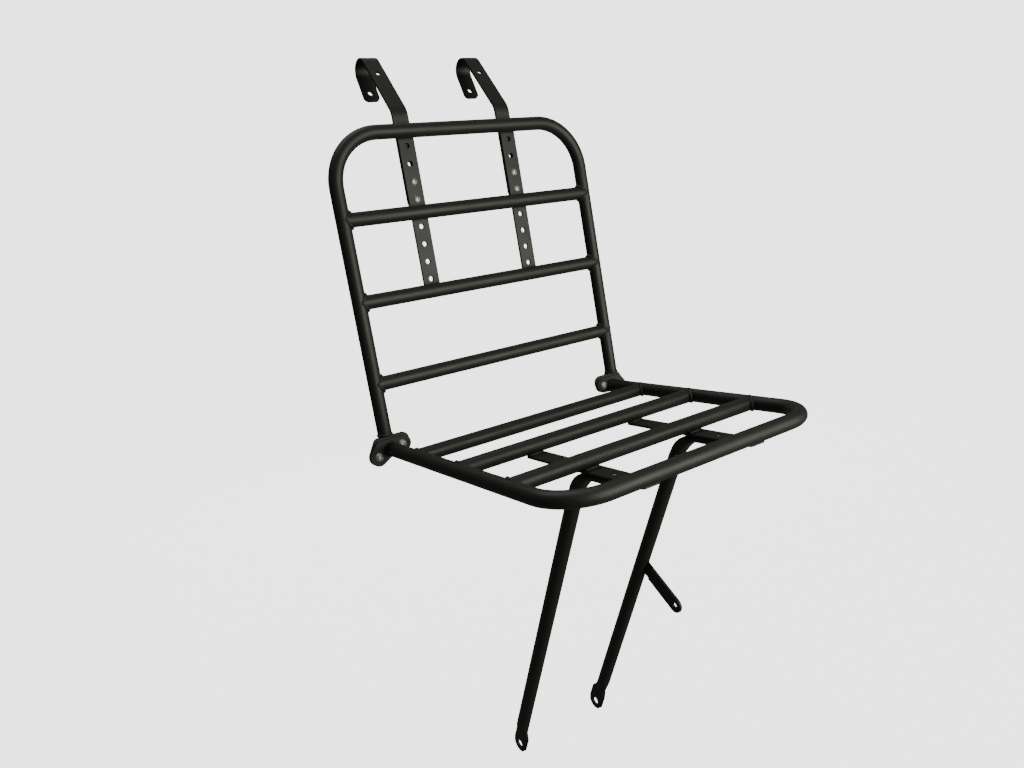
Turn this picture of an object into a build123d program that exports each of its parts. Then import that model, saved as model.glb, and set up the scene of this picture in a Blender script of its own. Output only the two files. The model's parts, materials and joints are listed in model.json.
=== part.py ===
from build123d import *
import math
import os

# Front luggage rack for a bicycle: a flat tube platform on two struts that bolt to the axle, and a
# backrest that hooks over the handlebar and folds rearward when it is unhooked.
# Millimetres. X across the bicycle, -Y forward, +Z up. Origin: midway between the two axle eyes, on
# their common axis. Left is the rider's left, +X.

# Tubes
tube_diameter = 16.0
tube_wall = 1.5

# Platform. Its bars stand at shares of its length, forward of the hinge line.
platform_width = 325.0
platform_length = 315.0
platform_height = 412.0
platform_corner_radius = 45.0
platform_bar_shares = {"rear": 0.189, "middle": 0.4525, "front": 0.7335}
hinge_line_setback = 14.2
cope_trim = 1.0

# Backrest. Its bars stand at shares of its height, up the slope from the platform plane.
upright_offset = 4.0
backrest_height = 342.0
backrest_corner_radius = 57.0
backrest_lean = 3.4
backrest_bar_shares = {"lower": 0.2135, "middle": 0.4766, "upper": 0.7368}

# Struts. Knee, screw and end are measured back from the platform's front tube.
strut_spacing = 139.0
axle_eye_spacing = 125.0
axle_hole_diameter = 10.0
strut_knee_setback = 97.6
strut_knee_radius = 46.0
strut_screw_setback = 48.8
strut_end_setback = 18.3
strut_flat_thickness = 3.0
strut_flat_width = 24.3
strut_flat_length = 20.0
strut_neck_thickness = 7.5
strut_neck_width = 16.5
strut_neck_rise = 8.0
strut_press_length = 20.0
strut_joggle = 3.0
strut_foot_thickness = 6.6
seam_thickness = 0.6

# Plates that carry the struts
strut_plate_width = 21.0
strut_plate_thickness = 2.5
strut_plate_corner_radius = 3.0
strut_screw_diameter = 6.0
strut_screw_play = 0.25
strut_screw_grip_end = 1.0

# Lamp and mudguard stay on the left strut
stay_place = 231.0
stay_drop_angle = 38.3
stay_hole_reach = 62.0
stay_width = 18.0
stay_thickness = 3.0
stay_hole_diameter = 6.0

# Hinge
hinge_plate_thickness = 3.0
hinge_plate_front = 2.5
hinge_bolt_diameter = 6.0
hinge_bolt_inner_gap = 6.75
hinge_bolt_outer_gap = 6.75
hinge_center_offset = 1.3
hinge_bolt_inner_rise = 2.4
hinge_bolt_outer_rise = -5.5
hinge_inner_lobe_radius = 9.8
hinge_outer_lobe_radius = 10.3
hinge_inner_corner_radius = 8.6
hinge_outer_corner_radius = 6.0
hinge_inner_corner_shift = 2.3
hinge_outer_corner_shift = 1.0
hinge_throat_radius = 2.0
hinge_throat_drop = 5.5
hinge_flange_top = 11.5
hinge_leaf_top = 15.0
hinge_pin_diameter = 6.0
hinge_pin_rise = 7.0
hinge_barrel_radius = 5.0
hinge_barrel_gap = 1.1
hinge_ear_width = 4.0
hinge_lug_width = 6.0
hinge_side_gap = 0.3
hinge_seat_gap = 0.3
hinge_foot_thickness = 5.0
hinge_lug_lap = 1.0
hinge_pin_clearance = 0.05
hinge_pin_overhang = 0.8

# Perforated rails and handlebar hooks
hook_spacing = 139.0
strip_width = 20.0
strip_thickness = 3.0
rail_hole_diameter = 6.0
rail_hole_pitch = 20.0
rail_hole_from_bar = 15.2
rail_hole_end_margin = 12.0
rail_top_margin = 1.0
rail_bottom_margin = 4.0
hook_bolt_diameter = 5.0
hook_bolt_count = 2
hook_hole_diameter = 5.4
hook_hole_count = 3
hook_end_margin = 11.0
hook_bend_rise = 24.0
hook_bend_radius = 20.0
hook_rise_angle = 52.5
hook_rise_length = 81.0
hook_loop_radius = 13.5
hook_return_angle = 23.3
hook_return_length = 31.0
hook_closing_hole_setback = 20.5
hook_tip_corner_radius = 5.5
hook_end_corner_margin = 0.2

# Fasteners
thread_end_length = 1.5
bolt_hole_play = 0.2

# Closeness at which two lengths count as the same
length_tolerance = 0.01

# Derived sizes
tube_radius = tube_diameter / 2
bore_radius = tube_radius - tube_wall
side_x = platform_width / 2
upright_x = side_x + upright_offset
hook_x = hook_spacing / 2
SIDES = {"left": 1, "right": -1}
platform_bar_places = {k: v * platform_length for k, v in platform_bar_shares.items()}
backrest_bar_places = {k: v * backrest_height for k, v in backrest_bar_shares.items()}

os.makedirs("parts", exist_ok=True)


def save(shape, name):
    shape.label = name
    export_step(shape, f"parts/{name}.step")


# Frames

hinge_datum = Vector(0, hinge_line_setback, platform_height)
lean = math.radians(backrest_lean)
backrest_up = Vector(0, math.sin(lean), math.cos(lean))

# Local x across, local y forward
platform_plane = Plane(origin=hinge_datum, x_dir=(1, 0, 0), z_dir=(0, 0, -1))
# Local x across, local y up the slope, local z forward
backrest_plane = Plane(
    origin=hinge_datum, x_dir=(1, 0, 0), z_dir=(0, -math.cos(lean), math.sin(lean))
)


def yz_plane(x, y=0.0, z=0.0):
    """Local x along +Y, local y along +Z, local z along +X."""
    return Plane(origin=(x, y, z), x_dir=(0, 1, 0), z_dir=(1, 0, 0))


def xz_plane(y, z=0.0):
    """Local x along +X, local y along +Z, local z forward, along -Y."""
    return Plane(origin=(0, y, z), x_dir=(1, 0, 0), z_dir=(0, -1, 0))


# Shared shapes


def bent_tube(frame, points, radius, outer, inner=0.0):
    """A round bar or tube along straight runs in the frame's XY plane, with bends of one radius."""
    path = frame * FilletPolyline(*points, radius=radius)
    start = Plane(origin=path @ 0, z_dir=path % 0)
    section = start * Circle(outer)
    if inner:
        section -= start * Circle(inner)
    return sweep(section, path=path)


def crossbar(frame, place, half_span, frame_tube):
    """A tube across the frame, its ends coped to the frame tube."""
    ring = Circle(tube_radius) - Circle(bore_radius)
    bar = extrude(Plane.YZ * ring, half_span - cope_trim, both=True)
    located = frame * (Pos(0, place, 0) * bar)
    return located - frame_tube


def fastener(diameter):
    """The usual sizes of a button head screw, its nut and its plain washer."""
    return {
        "head": diameter + 4.5,
        "head_height": diameter * 0.55,
        "socket": diameter - 2.0,
        "nut": diameter * 2 - 2.0,
        "nut_height": diameter * 0.5 + 2.2,
        "washer": diameter * 2,
        "washer_height": diameter * 0.6 - 2.0,
    }


def screw(diameter, length):
    """A button head screw along +Z: the head's seat is at 0, the head is above it, the shank below."""
    size = fastener(diameter)
    head_radius = size["head"] / 2
    height = size["head_height"]
    dome_radius = (head_radius**2 + height**2) / (2 * height)
    dome = Pos(0, 0, height - dome_radius) * Sphere(dome_radius)
    head = extrude(Circle(head_radius), height) & dome
    socket = extrude(RegularPolygon(size["socket"] / 2, 6, major_radius=False), -height * 0.6)
    shank = Pos(0, 0, -length / 2) * Cylinder(diameter / 2, length)
    shank = chamfer(shank.edges().sort_by(Axis.Z)[0], diameter * 0.1)
    return head - Pos(0, 0, height) * socket + shank


def nut(diameter):
    """A hexagon nut standing on 0, upwards along +Z."""
    size = fastener(diameter)
    height = size["nut_height"]
    across = size["nut"]
    prism = extrude(RegularPolygon(across / 2, 6, major_radius=False), height)
    crown = Pos(0, 0, height / 2) * Cylinder(across / 2 / math.cos(math.pi / 6), height)
    crown = chamfer(crown.edges().filter_by(GeomType.CIRCLE), across * 0.06)
    return (prism & crown) - Pos(0, 0, height / 2) * Cylinder(diameter / 2, height * 2)


def washer(diameter):
    """A plain washer standing on 0, upwards along +Z."""
    size = fastener(diameter)
    ring = Circle(size["washer"] / 2) - Circle(diameter / 2 + bolt_hole_play)
    return extrude(ring, size["washer_height"])


def bolt_through(diameter, grip):
    """A screw, washer and nut that clamp from 0 down to -grip along Z."""
    size = fastener(diameter)
    under = grip + size["washer_height"]
    length = under + size["nut_height"] + thread_end_length
    ring = Pos(0, 0, -under) * washer(diameter)
    fixing = Pos(0, 0, -under - size["nut_height"]) * nut(diameter)
    return screw(diameter, length), ring, fixing


# Platform


def platform_half_width(place):
    """Distance from the middle to the platform tube's centre line at a place along the platform."""
    into_bend = place - (platform_length - platform_corner_radius)
    if into_bend <= 0:
        return side_x
    inset = platform_corner_radius - math.sqrt(platform_corner_radius**2 - into_bend**2)
    return side_x - inset


platform_path = [
    (-side_x, hinge_plate_front),
    (-side_x, platform_length),
    (side_x, platform_length),
    (side_x, hinge_plate_front),
]
platform_tube = bent_tube(
    platform_plane, platform_path, platform_corner_radius, tube_radius, bore_radius
)
platform_solid = bent_tube(platform_plane, platform_path, platform_corner_radius, tube_radius)
save(platform_tube, "platform_tube")

for name, place in platform_bar_places.items():
    bar = crossbar(platform_plane, place, platform_half_width(place), platform_solid)
    save(bar, f"platform_bar_{name}")

# Struts and the plates that carry them

plate_top = platform_height - tube_radius
plate_bottom = plate_top - strut_plate_thickness
plate_rear_y = hinge_line_setback - platform_bar_places["middle"]
plate_front_y = hinge_line_setback - platform_length
foot_height = plate_bottom - strut_foot_thickness / 2
strut_knee_y = plate_front_y + strut_knee_setback
strut_screw_y = plate_front_y + strut_screw_setback
strut_end_y = plate_front_y + strut_end_setback
circle_split = 40.0
press_stations = 5


def arc_circle(radius):
    """A circle drawn as four arcs, which matches a slot's four edges in a loft."""
    corners = [-circle_split, circle_split, 180 - circle_split, 180 + circle_split, 360 - circle_split]
    arcs = [CenterArc((0, 0), radius, a, b - a) for a, b in zip(corners, corners[1:])]
    return make_face(Wire(arcs))


def slot_section(width, thickness):
    """A slot with half round ends, drawn as four edges from its right end."""
    straight = (width - thickness) / 2
    edges = [
        CenterArc((straight, 0), thickness / 2, -90, 180),
        Line((straight, thickness / 2), (-straight, thickness / 2)),
        CenterArc((-straight, 0), thickness / 2, 90, 180),
        Line((-straight, -thickness / 2), (straight, -thickness / 2)),
    ]
    return make_face(Wire(edges))


def pressed_section(thickness, wall=0.0):
    """The tube's section pressed to a thickness, its outline's length kept; wall gives its bore."""
    if thickness > tube_diameter - length_tolerance:
        return arc_circle(tube_radius - wall)
    width = thickness + math.pi * (tube_diameter - thickness) / 2 - 2 * wall
    return slot_section(width, max(thickness - 2 * wall, seam_thickness))


def strut_line(sign):
    """Where the strut's straight middle line starts, at the height of the eye, and its direction."""
    foot = Vector(sign * (axle_eye_spacing / 2 + strut_joggle), 0, 0)
    knee = Vector(sign * strut_spacing / 2, strut_knee_y, foot_height)
    return foot, knee, (knee - foot).normalized()


def strut(sign):
    """A tube strut: a pressed flat eye below, a pressed knee and a flattened foot above."""
    foot, knee, rise = strut_line(sign)
    forward = Vector(0, -1, 0)
    turn = math.acos(rise.dot(forward))
    tangent_length = strut_knee_radius * math.tan(turn / 2)
    bend_start = knee - rise * tangent_length
    bend_end = knee + forward * tangent_length
    centre_way = (forward - rise * rise.dot(forward)).normalized()
    flat_rise = Vector(0, rise.Y, rise.Z).normalized()
    across = Vector(0, rise.Z, -rise.Y).normalized()
    round_start = foot + rise * (strut_flat_length + strut_press_length)

    def shell(wall):
        """The strut's outside, or its bore when a wall is given."""
        start = Plane(origin=round_start, x_dir=across, z_dir=rise)
        body = extrude(start * arc_circle(tube_radius - wall), (bend_start - round_start).length)
        stations = []
        for n in range(press_stations):
            share = n / (press_stations - 1)
            angle = turn * share
            ease = share * share * (3 - 2 * share)
            thickness = tube_diameter + (strut_foot_thickness - tube_diameter) * ease
            way = rise * math.cos(angle) + centre_way * math.sin(angle)
            place = bend_start + (
                rise * math.sin(angle) + centre_way * (1 - math.cos(angle))
            ) * strut_knee_radius
            plane = Plane(origin=place, x_dir=Vector(1, 0, 0) - way * way.X, z_dir=way)
            stations.append(plane * pressed_section(thickness, wall))
        body += loft(stations)
        end = Plane(origin=bend_end, x_dir=(1, 0, 0), z_dir=forward)
        run = bend_end.Y - strut_end_y + wall
        return body + extrude(end * pressed_section(strut_foot_thickness, wall), run)

    # Lower end: pressed flat against the fork, so its sides lie square to the axle
    flat_x = sign * axle_eye_spacing / 2
    flat_top = Vector(flat_x, flat_rise.Y * strut_flat_length, flat_rise.Z * strut_flat_length)
    neck_share = strut_neck_rise / strut_press_length
    neck_place = flat_top + (round_start - flat_top) * neck_share
    round_plane = Plane(origin=round_start, x_dir=across, z_dir=rise)
    neck_plane = Plane(origin=neck_place, x_dir=across, z_dir=flat_rise)
    flat_plane = Plane(origin=flat_top, x_dir=across, z_dir=flat_rise)
    flat = slot_section(strut_flat_width, strut_flat_thickness)
    neck = slot_section(strut_neck_width, strut_neck_thickness)
    bore_width = strut_neck_width - 2 * tube_wall
    neck_bore = slot_section(bore_width, strut_neck_thickness - 2 * tube_wall)
    press = [flat_plane * flat, neck_plane * neck, round_plane * arc_circle(tube_radius)]
    outer = shell(0.0) + loft(press, ruled=True)
    inner = shell(tube_wall) + loft([neck_plane * neck_bore, round_plane * arc_circle(bore_radius)])
    blade = extrude(flat_plane * flat, -strut_flat_length)
    tip = Circle((strut_flat_width - strut_flat_thickness) / 2)
    blade += extrude(yz_plane(flat_x) * tip, strut_flat_thickness / 2, both=True)
    tilt = math.degrees(math.atan2(flat_rise.Z, flat_rise.Y))
    stem = Pos(strut_flat_length / 2, 0) * Rectangle(strut_flat_length, strut_flat_width)
    outline = Circle(strut_flat_width / 2) + Rot(0, 0, tilt) * stem
    blade &= extrude(yz_plane(flat_x) * outline, strut_flat_thickness, both=True)

    eye_hole = extrude(
        yz_plane(flat_x) * Circle(axle_hole_diameter / 2), strut_flat_thickness, both=True
    )
    screw_hole = Pos(knee.X, strut_screw_y, foot_height) * Cylinder(
        strut_screw_diameter / 2 + strut_screw_play, tube_diameter
    )
    return outer - inner + blade - eye_hole - screw_hole


def strut_plate(sign):
    """A flat plate welded under the middle bar, the front bar and the front tube."""
    x = sign * strut_spacing / 2
    length = plate_rear_y - plate_front_y
    blank = Pos(x, (plate_rear_y + plate_front_y) / 2, (plate_top + plate_bottom) / 2) * Box(
        strut_plate_width, length, strut_plate_thickness
    )
    blank = fillet(blank.edges().filter_by(Axis.Z), strut_plate_corner_radius)
    hole = Pos(x, strut_screw_y, (plate_top + plate_bottom) / 2) * Cylinder(
        strut_screw_diameter / 2, strut_plate_thickness * 2
    )
    return blank - hole


strut_screws = []
strut_washers = []
washer_height = fastener(strut_screw_diameter)["washer_height"]
strut_screw_length = (
    strut_plate_thickness + strut_foot_thickness + washer_height - strut_screw_grip_end
)
for side, sign in SIDES.items():
    save(strut(sign), f"strut_{side}")
    save(strut_plate(sign), f"strut_plate_{side}")
    washer_top = plate_bottom - strut_foot_thickness
    below = Pos(sign * strut_spacing / 2, strut_screw_y, washer_top - washer_height)
    strut_washers.append(below * washer(strut_screw_diameter))
    strut_screws.append(below * Rot(180, 0, 0) * screw(strut_screw_diameter, strut_screw_length))
save(Compound(strut_screws), "strut_screws")
save(Compound(strut_washers), "strut_washers")

# Stay


def lamp_stay():
    """A flat bar with a rounded, drilled end, butt welded to the front of the left strut."""
    foot, _, rise = strut_line(1)
    root = foot + rise * (stay_place / rise.Z)
    drop = math.radians(stay_drop_angle)
    along = Vector(0, -math.cos(drop), -math.sin(drop))
    middle = Plane(origin=root, x_dir=along, z_dir=(1, 0, 0))
    blank = Pos(stay_hole_reach / 2, 0) * Rectangle(stay_hole_reach, stay_width)
    blank += Pos(stay_hole_reach, 0) * Circle(stay_width / 2)
    blank -= Pos(stay_hole_reach, 0) * Circle(stay_hole_diameter / 2)
    bar = extrude(middle * blank, stay_thickness / 2, both=True)
    strut_length = stay_place * 2
    strut_core = Plane(origin=foot, z_dir=rise) * Pos(0, 0, strut_length / 2) * Cylinder(
        tube_radius, strut_length
    )
    behind = Plane(origin=root, z_dir=rise) * Pos(0, tube_diameter, 0) * Box(
        tube_diameter * 2, tube_diameter * 2, tube_diameter * 4
    )
    return bar - strut_core - behind


save(lamp_stay(), "lamp_stay")

# Hinge

plate_front_face = hinge_line_setback - hinge_plate_front
leaf_front_face = plate_front_face + hinge_plate_thickness
leaf_rear_face = leaf_front_face + hinge_plate_thickness
pin_y = leaf_rear_face + hinge_barrel_gap + hinge_barrel_radius
pin_z = platform_height + hinge_pin_rise
hinge_center_x = side_x + hinge_center_offset
hinge_bolt_places = {
    "inner": (hinge_center_x - tube_radius - hinge_bolt_inner_gap, hinge_bolt_inner_rise),
    "outer": (hinge_center_x + tube_radius + hinge_bolt_outer_gap, hinge_bolt_outer_rise),
}


def hinge_plate(sign, face_y, top):
    """A two lobed plate, square to the bicycle, drilled for both hinge bolts."""
    inner_x, inner_z = hinge_bolt_places["inner"]
    outer_x, outer_z = hinge_bolt_places["outer"]
    corner_in = hinge_inner_corner_radius
    corner_out = hinge_outer_corner_radius
    inner_lobe = Pos(sign * inner_x, inner_z) * Circle(hinge_inner_lobe_radius)
    outer_lobe = Pos(sign * outer_x, outer_z) * Circle(hinge_outer_lobe_radius)
    inner_corner = Pos(sign * (inner_x - hinge_inner_corner_shift), top - corner_in) * Circle(corner_in)
    outer_corner_x = upright_x + tube_radius + hinge_outer_corner_shift
    outer_corner = Pos(sign * outer_corner_x, top - corner_out) * Circle(corner_out)
    throat = Pos(sign * side_x, -hinge_throat_drop) * Circle(hinge_throat_radius)

    def hull(*circles):
        return make_hull([edge for circle in circles for edge in circle.edges()])

    outline = hull(inner_lobe, inner_corner, outer_corner, throat)
    outline += hull(outer_lobe, outer_corner, throat)
    for x, z in hinge_bolt_places.values():
        outline -= Pos(sign * x, z) * Circle(hinge_bolt_diameter / 2 + bolt_hole_play)
    return extrude(xz_plane(face_y, platform_height) * outline, -hinge_plate_thickness)


def hinge_leaf(sign):
    """The rear plate with two ears that carry the pin."""
    leaf = hinge_plate(sign, leaf_front_face, hinge_leaf_top)
    reach = pin_y - leaf_rear_face
    web = Pos(-reach / 2, 0) * Rectangle(reach, hinge_barrel_radius * 2)
    ear = web + Circle(hinge_barrel_radius)
    ear -= Circle(hinge_pin_diameter / 2)
    offset = hinge_lug_width / 2 + hinge_side_gap
    for direction in (1, -1):
        inner = hinge_center_x + direction * offset
        body = extrude(yz_plane(0, pin_y, pin_z) * ear, direction * sign * hinge_ear_width)
        leaf += Pos(sign * inner, 0, 0) * body
    return leaf


def hinge_foot(sign):
    """The plug welded into an upright's end, with the lug that turns on the pin."""
    up_start = hinge_leaf_top + hinge_seat_gap + (leaf_rear_face - hinge_line_setback) * math.sin(lean)
    seat = backrest_plane * Pos(sign * upright_x, up_start, 0) * Rot(-90, 0, 0)
    disc = seat * extrude(Circle(tube_radius), hinge_foot_thickness)
    spigot = seat * Pos(0, 0, hinge_foot_thickness) * extrude(Circle(bore_radius), tube_radius)
    lug_front = leaf_rear_face + hinge_seat_gap - pin_y
    lug_side = abs(upright_x - hinge_center_x) + hinge_lug_width / 2
    disc_reach = math.sqrt(max(tube_radius**2 - lug_side**2, 0))
    lug_rear = hinge_line_setback + disc_reach + hinge_leaf_top * math.sin(lean) - pin_y
    lug_top = platform_height + up_start - pin_z + hinge_lug_lap
    outline = Polyline(
        (lug_front, 0), (lug_front, lug_top), (lug_rear, lug_top), (lug_rear, 0), close=True
    )
    lug = make_hull(Circle(hinge_barrel_radius).edges() + outline.edges())
    lug -= Circle(hinge_pin_diameter / 2 + hinge_pin_clearance)
    lug_x = sign * hinge_center_x
    lug_body = extrude(yz_plane(lug_x, pin_y, pin_z) * lug, hinge_lug_width / 2, both=True)
    return disc + spigot + lug_body, up_start + hinge_foot_thickness


hinge_bolts = []
hinge_washers = []
hinge_nuts = []
hinge_pins = []
for side, sign in SIDES.items():
    save(hinge_plate(sign, plate_front_face, hinge_flange_top), f"hinge_flange_{side}")
    save(hinge_leaf(sign), f"hinge_leaf_{side}")
    foot, upright_start = hinge_foot(sign)
    save(foot, f"hinge_foot_{side}")
    for x, z in hinge_bolt_places.values():
        bolt, ring, fixing = bolt_through(hinge_bolt_diameter, 2 * hinge_plate_thickness)
        seat = xz_plane(plate_front_face, platform_height) * Pos(sign * x, z, 0)
        hinge_bolts.append(seat * bolt)
        hinge_washers.append(seat * ring)
        hinge_nuts.append(seat * fixing)
    pin_length = hinge_lug_width + 2 * (hinge_side_gap + hinge_ear_width + hinge_pin_overhang)
    pin_section = yz_plane(sign * hinge_center_x, pin_y, pin_z) * Circle(hinge_pin_diameter / 2)
    pin = extrude(pin_section, pin_length / 2, both=True)
    hinge_pins.append(chamfer(pin.edges().filter_by(GeomType.CIRCLE), hinge_pin_overhang * 0.6))
save(Compound(hinge_bolts), "hinge_bolts")
save(Compound(hinge_washers), "hinge_washers")
save(Compound(hinge_nuts), "hinge_nuts")
save(Compound(hinge_pins), "hinge_pins")

# Backrest

backrest_path = [
    (-upright_x, upright_start),
    (-upright_x, backrest_height),
    (upright_x, backrest_height),
    (upright_x, upright_start),
]
backrest_tube = bent_tube(
    backrest_plane, backrest_path, backrest_corner_radius, tube_radius, bore_radius
)
backrest_solid = bent_tube(backrest_plane, backrest_path, backrest_corner_radius, tube_radius)
save(backrest_tube, "backrest_tube")


def backrest_half_width(place):
    """Distance from the middle to the backrest tube's centre line at a place up the slope."""
    into_bend = place - (backrest_height - backrest_corner_radius)
    if into_bend <= 0:
        return upright_x
    inset = backrest_corner_radius - math.sqrt(backrest_corner_radius**2 - into_bend**2)
    return upright_x - inset


for name, place in backrest_bar_places.items():
    bar = crossbar(backrest_plane, place, backrest_half_width(place), backrest_solid)
    save(bar, f"backrest_bar_{name}")

# Rails

upper_bar = backrest_bar_places["upper"]
room_above = backrest_height - rail_hole_end_margin - (upper_bar + rail_hole_from_bar)
room_below = upper_bar - rail_hole_from_bar - (backrest_bar_places["middle"] + rail_hole_end_margin)
holes_above = [
    upper_bar + rail_hole_from_bar + rail_hole_pitch * n
    for n in range(int(room_above / rail_hole_pitch) + 1)
]
holes_below = [
    upper_bar - rail_hole_from_bar - rail_hole_pitch * n
    for n in range(int(room_below / rail_hole_pitch) + 1)
]


def hook_rail(sign):
    """A perforated flat bar welded to the back of the top tube and the upper and middle bars."""
    top = backrest_height + rail_top_margin
    bottom = backrest_bar_places["middle"] - rail_bottom_margin
    blank = Pos(0, (top + bottom) / 2) * Rectangle(strip_width, top - bottom)
    for place in holes_above + holes_below:
        blank -= Pos(0, place) * Circle(rail_hole_diameter / 2)
    rail = Pos(sign * hook_x, 0, -tube_radius) * extrude(blank, -strip_thickness)
    return backrest_plane * rail


# Hooks

rise = math.radians(hook_rise_angle)
turn_back = math.radians(hook_return_angle)
strip_centre = tube_radius + strip_thickness * 1.5
backrest_back = Vector(0, math.cos(lean), -math.sin(lean))
hook_holes = holes_above[:hook_hole_count]


def on_strip(place):
    """A point on the hook strip's middle line, in the hook's side view: rearward, up."""
    point = hinge_datum + backrest_up * place + backrest_back * strip_centre
    return Vector(point.Y, point.Z)


def handlebar_hook(sign):
    """A flat strip bolted behind the rail, bent rearward and looped over the handlebar."""
    start = on_strip(hook_holes[0] - hook_end_margin)
    bend = on_strip(backrest_height + hook_bend_rise)
    uphill = Vector(math.cos(rise), math.sin(rise))
    crest = bend + uphill * hook_rise_length
    centre = crest + Vector(math.sin(rise), -math.cos(rise)) * hook_loop_radius
    loop_start = 90 + hook_rise_angle
    loop_end = -hook_return_angle
    loop_out = centre + Vector(math.cos(turn_back), -math.sin(turn_back)) * hook_loop_radius
    downhill = Vector(-math.sin(turn_back), -math.cos(turn_back))
    tip = loop_out + downhill * hook_return_length

    shank = FilletPolyline(
        (start.X, start.Y), (bend.X, bend.Y), (crest.X, crest.Y), radius=hook_bend_radius
    )
    loop = CenterArc((centre.X, centre.Y), hook_loop_radius, loop_start, loop_end - loop_start)
    tail = Line((loop_out.X, loop_out.Y), (tip.X, tip.Y))
    path = yz_plane(sign * hook_x) * Wire(shank.edges() + [loop.edge(), tail.edge()])
    section = Plane(origin=path @ 0, x_dir=(1, 0, 0), z_dir=path % 0) * Rectangle(
        strip_width, strip_thickness
    )
    strip = sweep(section, path=path)

    ends = {strip_width / 2 - hook_end_corner_margin: path @ 0, hook_tip_corner_radius: path @ 1}
    for radius, end in ends.items():
        corners = [
            e
            for e in strip.edges().filter_by(GeomType.LINE)
            if abs(e.length - strip_thickness) < length_tolerance
            and abs((e.center() - end).length - strip_width / 2) < length_tolerance
        ]
        strip = fillet(corners, radius)

    for place in hook_holes:
        hole = backrest_plane * Pos(sign * hook_x, place, -strip_centre) * Cylinder(
            hook_hole_diameter / 2, strip_thickness * 2
        )
        strip -= hole
    setback = hook_closing_hole_setback
    for end, direction in ((crest, uphill * -1), (loop_out, downhill)):
        point = end + direction * setback
        across = Plane(
            origin=(sign * hook_x, point.X, point.Y), z_dir=(0, -direction.Y, direction.X)
        )
        strip -= across * Cylinder(rail_hole_diameter / 2, strip_thickness * 2)
    return strip


hook_bolts = []
hook_washers = []
hook_nuts = []
for side, sign in SIDES.items():
    save(hook_rail(sign), f"hook_rail_{side}")
    save(handlebar_hook(sign), f"handlebar_hook_{side}")
    for place in hook_holes[:hook_bolt_count]:
        bolt, ring, fixing = bolt_through(hook_bolt_diameter, 2 * strip_thickness)
        seat = backrest_plane * Pos(sign * hook_x, place, -tube_radius)
        hook_bolts.append(seat * bolt)
        hook_washers.append(seat * ring)
        hook_nuts.append(seat * fixing)
save(Compound(hook_bolts), "hook_bolts")
save(Compound(hook_washers), "hook_washers")
save(Compound(hook_nuts), "hook_nuts")
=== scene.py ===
"""Front luggage rack for a bicycle: finishes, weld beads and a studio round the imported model.

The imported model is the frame. Its nodes keep their shape and place and get their finishes here.
The pieces added are the weld beads and the rolled lips of the uprights' feet, all in metres.
"""

import json
import math

import bmesh
import bpy
from mathutils import Matrix, Vector


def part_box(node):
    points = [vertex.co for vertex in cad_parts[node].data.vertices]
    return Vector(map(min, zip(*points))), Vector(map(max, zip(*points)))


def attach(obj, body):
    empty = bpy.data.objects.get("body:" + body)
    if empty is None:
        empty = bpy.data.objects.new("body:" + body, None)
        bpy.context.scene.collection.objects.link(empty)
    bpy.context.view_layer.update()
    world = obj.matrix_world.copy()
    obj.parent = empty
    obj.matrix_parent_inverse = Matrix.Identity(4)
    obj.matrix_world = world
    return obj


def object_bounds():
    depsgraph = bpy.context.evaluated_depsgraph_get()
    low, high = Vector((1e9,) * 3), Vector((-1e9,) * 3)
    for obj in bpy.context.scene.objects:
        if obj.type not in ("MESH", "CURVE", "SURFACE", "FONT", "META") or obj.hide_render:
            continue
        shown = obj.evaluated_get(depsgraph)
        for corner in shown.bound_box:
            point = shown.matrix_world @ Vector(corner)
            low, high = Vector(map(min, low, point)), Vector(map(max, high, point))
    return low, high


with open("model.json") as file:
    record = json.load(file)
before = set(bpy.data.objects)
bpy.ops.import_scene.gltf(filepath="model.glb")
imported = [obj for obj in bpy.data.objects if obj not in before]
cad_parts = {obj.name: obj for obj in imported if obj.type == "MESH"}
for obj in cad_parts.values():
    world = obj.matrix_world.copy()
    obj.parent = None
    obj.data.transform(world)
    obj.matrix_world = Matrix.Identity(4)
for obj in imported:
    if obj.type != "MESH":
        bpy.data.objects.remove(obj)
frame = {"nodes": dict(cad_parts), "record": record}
cad_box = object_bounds()

bl_info = {
    "name": "Front Luggage Rack",
    "version": (1, 0, 0),
    "blender": (4, 5, 0),
    "location": "3D View > Sidebar > Rack",
    "description": "Finishes, weld beads and studio for a bicycle's front luggage rack",
    "category": "Object",
}

MM = 0.001
# Share of the lights that the floor sends back
FLOOR_SHARE = 0.1
# Radius of the floor, and its gap below the rack, in metres
FLOOR_RADIUS = 40.0
FLOOR_GAP = 0.2 * MM
# The overhead light: where it stands from the rack, how wide it looks, how far off it is
TOP_WAY = (-0.05, 0.25, 0.97)
TOP_SPREAD = math.radians(50)
TOP_DISTANCE = 3
# Height of an upright's foot below the end of its tube
FOOT_THICKNESS = 5 * MM
# Fillet beads stop this far short of the edges of their strip
BEAD_INSET = 1.5 * MM
# Beads by how heavy they are, as shares of the bead radius
PLATE_BEAD_SHARE = 0.8
RAIL_BEAD_SHARE = 0.7
FLANGE_BEAD_SHARE = 0.55
# How far a fillet bead lies from the middle of its tube, as shares of the tube's radius
PLATE_BEAD_LIE = 0.55
RAIL_BEAD_LIE = 0.5
# The flange bead runs round this much of the tube, and leaves a gap by the inner bolt
FLANGE_SWEEP = 250
# Thinnest place of a saddle bead, as a share of its fullest
SADDLE_THIN = 0.3
# Corners and points of the swept beads
BEAD_SIDES = 10
SADDLE_STEPS = 72
STRAIGHT_STEPS = 28
RING_STEPS = 64
# A tapered bead keeps this much of its length at each end from closing to a point
TAPER_END = 0.03
# How fast the ends fill out; a smaller power gives blunter ends
STRAIGHT_TAPER = 0.35
RING_TAPER = 0.3
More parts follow.
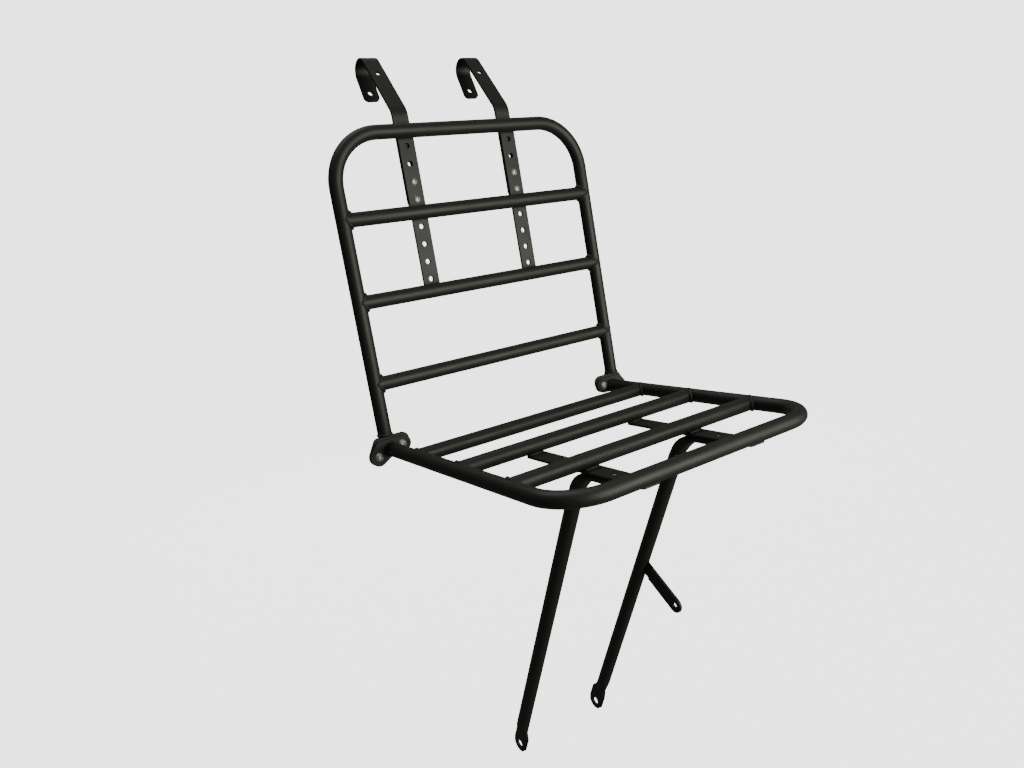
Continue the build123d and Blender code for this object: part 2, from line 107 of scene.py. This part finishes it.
# How far a foot's lip sits up from the foot and in from the tube, as shares of its radius
LIP_LIFT = 1.25
LIP_INSET = 0.35
SIDES = {"left": 1, "right": -1}
PLATFORM_BARS = ("platform_bar_rear", "platform_bar_middle", "platform_bar_front")
BACKREST_BARS = ("backrest_bar_lower", "backrest_bar_middle", "backrest_bar_upper")


# Sizes read from the frame


def box_centre(node):
    low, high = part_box(node)
    return (Vector(low) + Vector(high)) / 2


def box_size(node):
    low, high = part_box(node)
    return Vector(high) - Vector(low)


def outer_x(node):
    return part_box(node)[1][0]


TUBE_RADIUS = box_size("platform_bar_rear").z / 2
PLATFORM_SIDE = outer_x("platform_tube") - TUBE_RADIUS
BACKREST_SIDE = outer_x("backrest_tube") - TUBE_RADIUS
BACKREST_UP = (box_centre("backrest_bar_upper") - box_centre("backrest_bar_lower")).normalized()
BACKREST_FORWARD = Vector((1, 0, 0)).cross(BACKREST_UP)
FORWARD = Vector((0, -1, 0))


# Settings


class RackSizes(bpy.types.PropertyGroup):
    """Sizes of the added pieces."""

    bead_radius: bpy.props.FloatProperty(
        name="Bead radius",
        description="Half the width of a weld bead at its fullest",
        default=2.8 * MM,
        min=0.5 * MM,
        max=4 * MM,
        unit="LENGTH",
    )
    bead_ripple: bpy.props.FloatProperty(
        name="Bead ripple",
        description="Share of the radius by which a bead swells and narrows",
        default=0.09,
        min=0.0,
        max=0.4,
        subtype="FACTOR",
    )
    ripple_pitch: bpy.props.FloatProperty(
        name="Ripple pitch",
        description="Distance from one ripple of a bead to the next",
        default=3.2 * MM,
        min=1 * MM,
        max=10 * MM,
        unit="LENGTH",
    )
    lip_radius: bpy.props.FloatProperty(
        name="Lip radius",
        description="Radius of the rolled lip at the bottom of each upright",
        default=1.7 * MM,
        min=0.3 * MM,
        max=3 * MM,
        unit="LENGTH",
    )


class RackColours(bpy.types.PropertyGroup):
    """Colours of the finishes and the studio, as sRGB hex."""

    coat: bpy.props.StringProperty(
        name="Powder coat", description="Colour of the black powder coat", default="#22241b"
    )
    zinc: bpy.props.StringProperty(
        name="Zinc plate", description="Colour of the zinc plated fasteners", default="#e6e7e4"
    )
    floor: bpy.props.StringProperty(
        name="Floor", description="Colour of the studio floor", default="#f2f2f2"
    )


class RackStudio(bpy.types.PropertyGroup):
    """Camera and lights."""

    camera_place: bpy.props.FloatVectorProperty(
        name="Camera place",
        description="Where the camera stands",
        default=(-0.5174, -0.7926, 0.6339),
        subtype="TRANSLATION",
        unit="LENGTH",
    )
    camera_look: bpy.props.FloatVectorProperty(
        name="Camera direction",
        description="The direction that the camera looks in",
        default=(0.5358, 0.8227, -0.1900),
        subtype="DIRECTION",
    )
    camera_up: bpy.props.FloatVectorProperty(
        name="Camera up",
        description="The direction that is up in the picture",
        default=(0.2182, 0.0832, 0.9723),
        subtype="DIRECTION",
    )
    lens: bpy.props.FloatProperty(
        name="Lens", description="Focal length on a 36 mm sensor", default=28.36, unit="CAMERA"
    )
    key_power: bpy.props.FloatProperty(
        name="Key power",
        description="Power of the level soft box in front",
        default=15.5,
        min=0.0,
        unit="POWER",
    )
    key_place: bpy.props.FloatVectorProperty(
        name="Key place",
        description="Middle of the level soft box in front",
        default=(0.46, -1.30, 0.60),
        subtype="TRANSLATION",
        unit="LENGTH",
    )
    rear_power: bpy.props.FloatProperty(
        name="Rear power",
        description="Power of the soft box behind",
        default=45.0,
        min=0.0,
        unit="POWER",
    )
    rear_place: bpy.props.FloatVectorProperty(
        name="Rear place",
        description="Middle of the soft box behind",
        default=(0.9, 1.5, 0.8),
        subtype="TRANSLATION",
        unit="LENGTH",
    )
    key_width: bpy.props.FloatProperty(
        name="Key width", description="Width of both soft boxes", default=1.15, unit="LENGTH"
    )
    key_height: bpy.props.FloatProperty(
        name="Key height", description="Height of both soft boxes", default=0.85, unit="LENGTH"
    )
    top_strength: bpy.props.FloatProperty(
        name="Top", description="Strength of the overhead light", default=1.0, min=0.0
    )
    room_strength: bpy.props.FloatProperty(
        name="Room", description="Strength of the light from all round", default=0.08, min=0.0
    )
    floor_glow: bpy.props.FloatProperty(
        name="Floor glow", description="Light that the floor gives of itself", default=3.4, min=0.0
    )


def sizes():
    return bpy.context.scene.rack_sizes


def colours():
    return bpy.context.scene.rack_colours


def studio():
    return bpy.context.scene.rack_studio


# Colour and node helpers


def linear(hex_colour):
    """An sRGB hex colour as linear RGBA."""
    channels = [int(hex_colour[i : i + 2], 16) / 255 for i in (1, 3, 5)]
    return tuple(
        c / 12.92 if c <= 0.04045 else ((c + 0.055) / 1.055) ** 2.4 for c in channels
    ) + (1.0,)


def add_node(tree, kind, settings=None, links=None):
    """Adds a node. Settings go to sockets by name, else to attributes; links feed sockets."""
    node = tree.nodes.new(kind)
    for name, value in (settings or {}).items():
        if hasattr(node, name):
            setattr(node, name, value)
        else:
            node.inputs[name].default_value = value
    for name, source in (links or {}).items():
        tree.links.new(source, node.inputs[name])
    return node


def new_material(name):
    material = bpy.data.materials.new(name)
    material.use_nodes = True
    material.node_tree.nodes.clear()
    return material, material.node_tree


# Finishes


def powder_coated_steel():
    """Polyester powder coat, sprayed and baked on steel tube.

    It gives a black satin skin with a soft sheen, faint orange peel and rounded edges.
    """
    material, tree = new_material("powder_coated_steel_black")
    place = add_node(tree, "ShaderNodeTexCoord").outputs["Object"]
    # The real peel is about 0.5 mm across; it is drawn 2 mm across so that it shows
    peel = add_node(
        tree, "ShaderNodeTexNoise", {"Scale": 1 / (2.0 * MM), "Detail": 3.0}, {"Vector": place}
    )
    # Film thickness drifts over 40 mm, which shifts the sheen a little
    drift = add_node(
        tree, "ShaderNodeTexNoise", {"Scale": 1 / (40 * MM), "Detail": 2.0}, {"Vector": place}
    )
    rough = add_node(
        tree,
        "ShaderNodeMapRange",
        {"From Min": 0.3, "From Max": 0.7, "To Min": 0.48, "To Max": 0.56},
        {"Value": drift.outputs["Fac"]},
    )
    tone = add_node(
        tree,
        "ShaderNodeValToRGB",
        {},
        {"Fac": peel.outputs["Fac"]},
    )
    base = linear(colours().coat)
    tone.color_ramp.elements[0].position = 0.3
    tone.color_ramp.elements[1].position = 0.7
    tone.color_ramp.elements[0].color = tuple(c * 0.88 for c in base[:3]) + (1.0,)
    tone.color_ramp.elements[1].color = tuple(c * 1.12 for c in base[:3]) + (1.0,)
    # The coat rounds every edge by about its own build, drawn as 0.6 mm
    soft_edge = add_node(tree, "ShaderNodeBevel", {"samples": 6, "Radius": 0.6 * MM})
    bump = add_node(
        tree,
        "ShaderNodeBump",
        {"Strength": 0.22, "Distance": 0.08 * MM},
        {"Height": peel.outputs["Fac"], "Normal": soft_edge.outputs["Normal"]},
    )
    shader = add_node(
        tree,
        "ShaderNodeBsdfPrincipled",
        {"IOR": 1.52, "Metallic": 0.0},
        {
            "Base Color": tone.outputs["Color"],
            "Roughness": rough.outputs["Result"],
            "Normal": bump.outputs["Normal"],
        },
    )
    add_node(tree, "ShaderNodeOutputMaterial", {}, {"Surface": shader.outputs["BSDF"]})
    return material


def zinc_plated_steel():
    """Bright zinc, electroplated on cold headed steel screws.

    It gives a pale silver with a slightly cloudy reflection.
    """
    material, tree = new_material("zinc_plated_steel_bright")
    place = add_node(tree, "ShaderNodeTexCoord").outputs["Object"]
    # Plating cloud, about 3 mm across
    cloud = add_node(
        tree, "ShaderNodeTexNoise", {"Scale": 1 / (3.0 * MM), "Detail": 2.0}, {"Vector": place}
    )
    rough = add_node(
        tree,
        "ShaderNodeMapRange",
        {"From Min": 0.3, "From Max": 0.7, "To Min": 0.48, "To Max": 0.6},
        {"Value": cloud.outputs["Fac"]},
    )
    tone = add_node(tree, "ShaderNodeValToRGB", {}, {"Fac": cloud.outputs["Fac"]})
    base = linear(colours().zinc)
    tone.color_ramp.elements[0].color = tuple(c * 0.9 for c in base[:3]) + (1.0,)
    tone.color_ramp.elements[1].color = base
    # Forming marks, about 0.4 mm, drawn 1 mm across so that they show
    marks = add_node(
        tree, "ShaderNodeTexNoise", {"Scale": 1 / (1.0 * MM), "Detail": 1.0}, {"Vector": place}
    )
    soft_edge = add_node(tree, "ShaderNodeBevel", {"samples": 6, "Radius": 0.25 * MM})
    bump = add_node(
        tree,
        "ShaderNodeBump",
        {"Strength": 0.15, "Distance": 0.03 * MM},
        {"Height": marks.outputs["Fac"], "Normal": soft_edge.outputs["Normal"]},
    )
    shader = add_node(
        tree,
        "ShaderNodeBsdfPrincipled",
        {"Metallic": 1.0},
        {
            "Base Color": tone.outputs["Color"],
            "Roughness": rough.outputs["Result"],
            "Normal": bump.outputs["Normal"],
        },
    )
    add_node(tree, "ShaderNodeOutputMaterial", {}, {"Surface": shader.outputs["BSDF"]})
    return material


FINISHES = {"black_powder_coat": powder_coated_steel, "zinc_plated_steel": zinc_plated_steel}
made_finishes = {}


def finish_for(slot):
    if slot not in made_finishes:
        made_finishes[slot] = FINISHES[slot]()
    return made_finishes[slot]


def coat_nodes(slot):
    """Gives every node of one material slot its finish."""
    nodes = [s["node"] for s in frame["record"]["subparts"] if s["material_slot"] == slot]
    for name in nodes:
        for material_slot in frame["nodes"][name].material_slots:
            material_slot.material = finish_for(slot)


# Weld beads


def bead_mesh(name, runs, closed):
    """Swept round beads. Each run is a list of points with the bead's radius at each."""
    pitch = sizes().ripple_pitch
    ripple = sizes().bead_ripple
    mesh = bmesh.new()
    for run in runs:
        count = len(run)
        travelled = 0.0
        rings = []
        side = None
        for index, (point, radius) in enumerate(run):
            before = run[index - 1][0] if index or closed else point
            after = run[(index + 1) % count][0] if index + 1 < count or closed else point
            way = (after - before).normalized()
            if side is None:
                side = way.orthogonal().normalized()
            side = (side - way * side.dot(way)).normalized()
            other = way.cross(side)
            if index:
                travelled += (point - run[index - 1][0]).length
            swell = radius * (1 + ripple * math.sin(2 * math.pi * travelled / pitch))
            rings.append(
                [
                    mesh.verts.new(
                        point
                        + side * swell * math.cos(2 * math.pi * k / BEAD_SIDES)
                        + other * swell * math.sin(2 * math.pi * k / BEAD_SIDES)
                    )
                    for k in range(BEAD_SIDES)
                ]
            )
        pairs = list(zip(rings, rings[1:]))
        if closed:
            # The frame may have turned on its way round, so the last ring meets its nearest match
            last, first = rings[-1], rings[0]
            turn = min(
                range(BEAD_SIDES), key=lambda k: (last[0].co - first[k].co).length
            )
            pairs.append((last, first[turn:] + first[:turn]))
        for one, two in pairs:
            for k in range(BEAD_SIDES):
                nxt = (k + 1) % BEAD_SIDES
                mesh.faces.new((one[k], one[nxt], two[nxt], two[k]))
        if not closed:
            mesh.faces.new(reversed(rings[0]))
            mesh.faces.new(rings[-1])
    bmesh.ops.recalc_face_normals(mesh, faces=mesh.faces)
    for face in mesh.faces:
        face.smooth = True
    data = bpy.data.meshes.new(name)
    mesh.to_mesh(data)
    mesh.free()
    return data


def add_piece(name, data, body, slot="black_powder_coat"):
    piece = bpy.data.objects.new(name, data)
    bpy.context.scene.collection.objects.link(piece)
    data.materials.append(finish_for(slot))
    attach(piece, body)
    return piece


def saddle(centre, along, sign, side_x):
    """The closed line where a crossbar meets a side tube of the same diameter."""
    across = Vector((1, 0, 0)).cross(along)
    full = sizes().bead_radius
    run = []
    for step in range(SADDLE_STEPS):
        angle = 2 * math.pi * step / SADDLE_STEPS
        reach = TUBE_RADIUS * abs(math.cos(angle))
        point = (
            Vector((sign * (side_x - reach), centre.y, centre.z))
            + along * TUBE_RADIUS * math.cos(angle)
            + across * TUBE_RADIUS * math.sin(angle)
        )
        run.append((point, full * (SADDLE_THIN + (1 - SADDLE_THIN) * abs(math.cos(angle)))))
    return run


def end_taper(share, power):
    """How full a tapered bead is at a share of its length; a smaller power gives blunter ends."""
    return math.sin(math.pi * min(max(share, TAPER_END), 1 - TAPER_END)) ** power


def across_strip(low_x, high_x, y, z, radius):
    """A fillet bead across a strip, at one height and depth."""
    start = Vector((low_x + BEAD_INSET, y, z))
    end = Vector((high_x - BEAD_INSET, y, z))
    return straight_bead(start, end, radius)


def straight_bead(start, end, radius):
    """A short fillet bead with tapered ends."""
    run = []
    for step in range(STRAIGHT_STEPS + 1):
        share = step / STRAIGHT_STEPS
        taper = end_taper(share, STRAIGHT_TAPER)
        run.append((start.lerp(end, share), radius * taper))
    return run


def ring(centre, axis, radius, bead_radius, start=0.0, sweep=360.0, zero=None):
    """A bead on a circle, or on a part of it measured from the zero direction."""
    zero = zero or axis.orthogonal().normalized()
    other = axis.cross(zero)
    closed = sweep >= 360
    run = []
    for step in range(RING_STEPS if closed else RING_STEPS + 1):
        share = step / RING_STEPS
        angle = math.radians(start + sweep * share)
        taper = 1.0 if closed else end_taper(share, RING_TAPER)
        point = centre + (zero * math.cos(angle) + other * math.sin(angle)) * radius
        run.append((point, bead_radius * taper))
    return run


# Operators


class RACK_OT_coat(bpy.types.Operator):
    """Give the tubes, bars, plates and hooks their powder coat."""

    bl_idname = "rack.coat"
    bl_label = "Powder coat"

    def execute(self, context):
        coat_nodes("black_powder_coat")
        return {"FINISHED"}


class RACK_OT_zinc(bpy.types.Operator):
    """Give the screws, nuts, washers and pins their zinc plate."""

    bl_idname = "rack.zinc"
    bl_label = "Zinc plate"

    def execute(self, context):
        coat_nodes("zinc_plated_steel")
        return {"FINISHED"}


class RACK_OT_platform_beads(bpy.types.Operator):
    """Weld beads where the platform's bars meet its side tubes."""

    bl_idname = "rack.platform_beads"
    bl_label = "Platform bar beads"

    def execute(self, context):
        for bar in PLATFORM_BARS:
            runs = [saddle(box_centre(bar), FORWARD, s, PLATFORM_SIDE) for s in SIDES.values()]
            add_piece(bar.replace("bar", "bead"), bead_mesh(bar, runs, True), "platform")
        return {"FINISHED"}


class RACK_OT_backrest_beads(bpy.types.Operator):
    """Weld beads where the backrest's bars meet its uprights."""

    bl_idname = "rack.backrest_beads"
    bl_label = "Backrest bar beads"

    def execute(self, context):
        for bar in BACKREST_BARS:
            centre = box_centre(bar)
            runs = [saddle(centre, BACKREST_UP, s, BACKREST_SIDE) for s in SIDES.values()]
            add_piece(bar.replace("bar", "bead"), bead_mesh(bar, runs, True), "backrest")
        return {"FINISHED"}


class RACK_OT_strut_plate_beads(bpy.types.Operator):
    """Fillet beads that hold each strut plate under the bars and the front tube."""

    bl_idname = "rack.strut_plate_beads"
    bl_label = "Strut plate beads"

    def execute(self, context):
        radius = sizes().bead_radius * PLATE_BEAD_SHARE
        lie = PLATE_BEAD_LIE * TUBE_RADIUS
        for side in SIDES:
            plate = f"strut_plate_{side}"
            low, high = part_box(plate)
            runs = []
            for bar in ("platform_bar_middle", "platform_bar_front"):
                centre_y = box_centre(bar).y
                for offset in (-lie, lie):
                    y = centre_y + offset
                    if y < high[1]:
                        runs.append(across_strip(low[0], high[0], y, high[2], radius))
            front_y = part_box("platform_tube")[0][1] + TUBE_RADIUS + lie
            runs.append(across_strip(low[0], high[0], front_y, high[2], radius))
            add_piece(f"strut_plate_beads_{side}", bead_mesh(plate, runs, False), "platform")
        return {"FINISHED"}


class RACK_OT_rail_beads(bpy.types.Operator):
    """Fillet beads that hold the perforated rails behind the backrest's bars and top tube."""

    bl_idname = "rack.rail_beads"
    bl_label = "Rail beads"

    def execute(self, context):
        radius = sizes().bead_radius * RAIL_BEAD_SHARE
        lie = RAIL_BEAD_LIE * TUBE_RADIUS
        back = -BACKREST_FORWARD * TUBE_RADIUS
        top_centre = backrest_top_centre()
        for side in SIDES:
            rail = f"hook_rail_{side}"
            low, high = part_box(rail)
            runs = []
            places = [box_centre("backrest_bar_upper"), box_centre("backrest_bar_middle"), top_centre]
            for centre, offsets in zip(places, ((-lie, lie), (lie,), (-lie,))):
                for offset in offsets:
                    at = centre + back + BACKREST_UP * offset
                    runs.append(across_strip(low[0], high[0], at.y, at.z, radius))
            add_piece(f"hook_rail_beads_{side}", bead_mesh(rail, runs, False), "backrest")
        return {"FINISHED"}


def backrest_top_centre():
    """The middle of the backrest's top tube: its centre line there is a radius below the top."""
    top_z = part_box("backrest_tube")[1][2] - TUBE_RADIUS
    start = box_centre("backrest_bar_upper")
    return start + BACKREST_UP * ((top_z - start.z) / BACKREST_UP.z)


class RACK_OT_flange_beads(bpy.types.Operator):
    """Beads where the platform's tube ends meet the hinge flanges, clear of the inner bolts."""

    bl_idname = "rack.flange_beads"
    bl_label = "Flange beads"

    def execute(self, context):
        radius = sizes().bead_radius * FLANGE_BEAD_SHARE
        level = box_centre("platform_bar_rear").z
        for side, sign in SIDES.items():
            face_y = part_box(f"hinge_flange_{side}")[0][1]
            centre = Vector((sign * PLATFORM_SIDE, face_y, level))
            run = ring(
                centre,
                Vector((0, sign, 0)),
                TUBE_RADIUS,
                radius,
                start=-FLANGE_SWEEP / 2,
                sweep=FLANGE_SWEEP,
                zero=Vector((sign, 0, 0)),
            )
            add_piece(f"hinge_flange_bead_{side}", bead_mesh(side, [run], False), "platform")
        return {"FINISHED"}


class RACK_OT_foot_lips(bpy.types.Operator):
    """The rolled lip at the bottom of each upright."""

    bl_idname = "rack.foot_lips"
    bl_label = "Foot lips"

    def execute(self, context):
        lip = sizes().lip_radius
        low_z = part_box("backrest_tube")[0][2]
        start = box_centre("backrest_bar_lower")
        axis_point = start + BACKREST_UP * ((low_z - start.z) / BACKREST_UP.z)
        for side, sign in SIDES.items():
            base = Vector((sign * BACKREST_SIDE, axis_point.y, axis_point.z))
            seat = base - BACKREST_UP * (FOOT_THICKNESS - lip * LIP_LIFT)
            runs = [ring(seat, BACKREST_UP, TUBE_RADIUS - lip * LIP_INSET, lip)]
            add_piece(f"upright_lip_{side}", bead_mesh(side, runs, True), "backrest")
        return {"FINISHED"}


class RACK_OT_studio(bpy.types.Operator):
    """Floor, camera, soft lights and the pale room."""

    bl_idname = "rack.studio"
    bl_label = "Studio"

    def execute(self, context):
        scene = context.scene
        settings = studio()
        floor_colour = linear(colours().floor)

        # Floor, level with the lowest point of the struts' eyes
        level = cad_box[0][2]
        mesh = bmesh.new()
        bmesh.ops.create_circle(mesh, cap_ends=True, segments=96, radius=FLOOR_RADIUS)
        bmesh.ops.translate(mesh, verts=mesh.verts, vec=(0, 0, level - FLOOR_GAP))
        data = bpy.data.meshes.new("floor")
        mesh.to_mesh(data)
        mesh.free()
        floor = bpy.data.objects.new("floor", data)
        scene.collection.objects.link(floor)
        material, tree = new_material("studio_floor_matte_paint")
        # The floor glows for the camera only, and sends little light back to the rack
        sight = add_node(tree, "ShaderNodeLightPath")
        dim = tuple(FLOOR_SHARE * c for c in floor_colour[:3]) + (1.0,)
        paint = add_node(tree, "ShaderNodeBsdfDiffuse", {"Color": dim})
        glow = add_node(
            tree,
            "ShaderNodeEmission",
            {"Color": floor_colour, "Strength": settings.floor_glow},
        )
        seen = add_node(tree, "ShaderNodeAddShader")
        tree.links.new(paint.outputs["BSDF"], seen.inputs[0])
        tree.links.new(glow.outputs["Emission"], seen.inputs[1])
        unseen = add_node(tree, "ShaderNodeBsdfDiffuse", {"Color": (FLOOR_SHARE,) * 3 + (1.0,)})
        mix = add_node(
            tree, "ShaderNodeMixShader", {}, {"Fac": sight.outputs["Is Camera Ray"]}
        )
        tree.links.new(unseen.outputs["BSDF"], mix.inputs[1])
        tree.links.new(seen.outputs["Shader"], mix.inputs[2])
        add_node(tree, "ShaderNodeOutputMaterial", {}, {"Surface": mix.outputs["Shader"]})
        data.materials.append(material)

        # Soft boxes, turned to the rack: the key in front, and a fill behind that makes no highlights
        middle = (Vector(cad_box[0]) + Vector(cad_box[1])) / 2
        boxes = {
            "key_light": (settings.key_place, settings.key_power, (1.0, 1.0, 0.94)),
            "rear_light": (settings.rear_place, settings.rear_power, (1.0, 1.0, 1.0)),
        }
        for name, (place, power, colour) in boxes.items():
            panel = bpy.data.lights.new(name, "AREA")
            panel.shape = "RECTANGLE"
            panel.size = settings.key_width
            panel.size_y = settings.key_height
            panel.energy = power
            panel.color = colour
            lamp = bpy.data.objects.new(name, panel)
            lamp.location = place
            towards = Vector(place) - middle
            towards.z = 0
            lamp.rotation_mode = "QUATERNION"
            lamp.rotation_quaternion = towards.to_track_quat("Z", "Y")
            lamp.visible_camera = False
            lamp.visible_glossy = name == "key_light"
            scene.collection.objects.link(lamp)

        # Overhead light, wide and soft
        overhead = Vector(TOP_WAY).normalized()
        sun = bpy.data.lights.new("top_light", "SUN")
        sun.energy = settings.top_strength
        sun.angle = TOP_SPREAD
        top = bpy.data.objects.new("top_light", sun)
        top.rotation_mode = "QUATERNION"
        top.rotation_quaternion = overhead.to_track_quat("Z", "Y")
        top.location = overhead * TOP_DISTANCE
        scene.collection.objects.link(top)

        # Room: soft light from all round, and the floor's own brightness behind the rack
        lit = settings.room_strength + settings.top_strength * overhead.z / math.pi
        floor_light = settings.floor_glow + FLOOR_SHARE * lit
        world = bpy.data.worlds.new("room")
        scene.world = world
        world.use_nodes = True
        tree = world.node_tree
        tree.nodes.clear()
        sight = add_node(tree, "ShaderNodeLightPath")
        room = add_node(
            tree,
            "ShaderNodeBackground",
            {"Color": (1.0, 1.0, 1.0, 1.0), "Strength": settings.room_strength},
        )
        backdrop = add_node(
            tree, "ShaderNodeBackground", {"Color": floor_colour, "Strength": floor_light}
        )
        mix = add_node(tree, "ShaderNodeMixShader")
        tree.links.new(sight.outputs["Is Camera Ray"], mix.inputs[0])
        tree.links.new(room.outputs[0], mix.inputs[1])
        tree.links.new(backdrop.outputs[0], mix.inputs[2])
        add_node(tree, "ShaderNodeOutputWorld", {}, {"Surface": mix.outputs[0]})

        # Camera
        look = Vector(settings.camera_look).normalized()
        up = Vector(settings.camera_up)
        right = look.cross(up).normalized()
        up = right.cross(look)
        lens = bpy.data.cameras.new("camera")
        lens.lens = settings.lens
        lens.sensor_width = 36.0
        lens.clip_start = 0.01
        lens.clip_end = 100.0
        camera = bpy.data.objects.new("camera", lens)
        turn = Matrix((right, up, -look)).transposed().to_4x4()
        camera.matrix_world = Matrix.Translation(settings.camera_place) @ turn
        scene.collection.objects.link(camera)
        scene.camera = camera
        return {"FINISHED"}


OPERATORS = (
    RACK_OT_coat,
    RACK_OT_zinc,
    RACK_OT_platform_beads,
    RACK_OT_backrest_beads,
    RACK_OT_strut_plate_beads,
    RACK_OT_rail_beads,
    RACK_OT_flange_beads,
    RACK_OT_foot_lips,
    RACK_OT_studio,
)


class RACK_PT_panel(bpy.types.Panel):
    """Lists the rack's operators."""

    bl_idname = "RACK_PT_panel"
    bl_label = "Front luggage rack"
    bl_space_type = "VIEW_3D"
    bl_region_type = "UI"
    bl_category = "Rack"

    def draw(self, context):
        for group in ("rack_sizes", "rack_colours", "rack_studio"):
            settings = getattr(context.scene, group)
            for name in settings.__annotations__:
                self.layout.prop(settings, name)
        for operator in OPERATORS:
            self.layout.operator(operator.bl_idname)


GROUPS = {"rack_sizes": RackSizes, "rack_colours": RackColours, "rack_studio": RackStudio}


def register():
    for name, group in GROUPS.items():
        bpy.utils.register_class(group)
        setattr(bpy.types.Scene, name, bpy.props.PointerProperty(type=group))
    for operator in OPERATORS:
        bpy.utils.register_class(operator)
    bpy.utils.register_class(RACK_PT_panel)


def unregister():
    bpy.utils.unregister_class(RACK_PT_panel)
    for operator in reversed(OPERATORS):
        bpy.utils.unregister_class(operator)
    for name, group in GROUPS.items():
        delattr(bpy.types.Scene, name)
        bpy.utils.unregister_class(group)


def main():
    register()
    for operator in OPERATORS:
        category, action = operator.bl_idname.split(".")
        getattr(getattr(bpy.ops, category), action)()


if __name__ == "__main__":
    main()
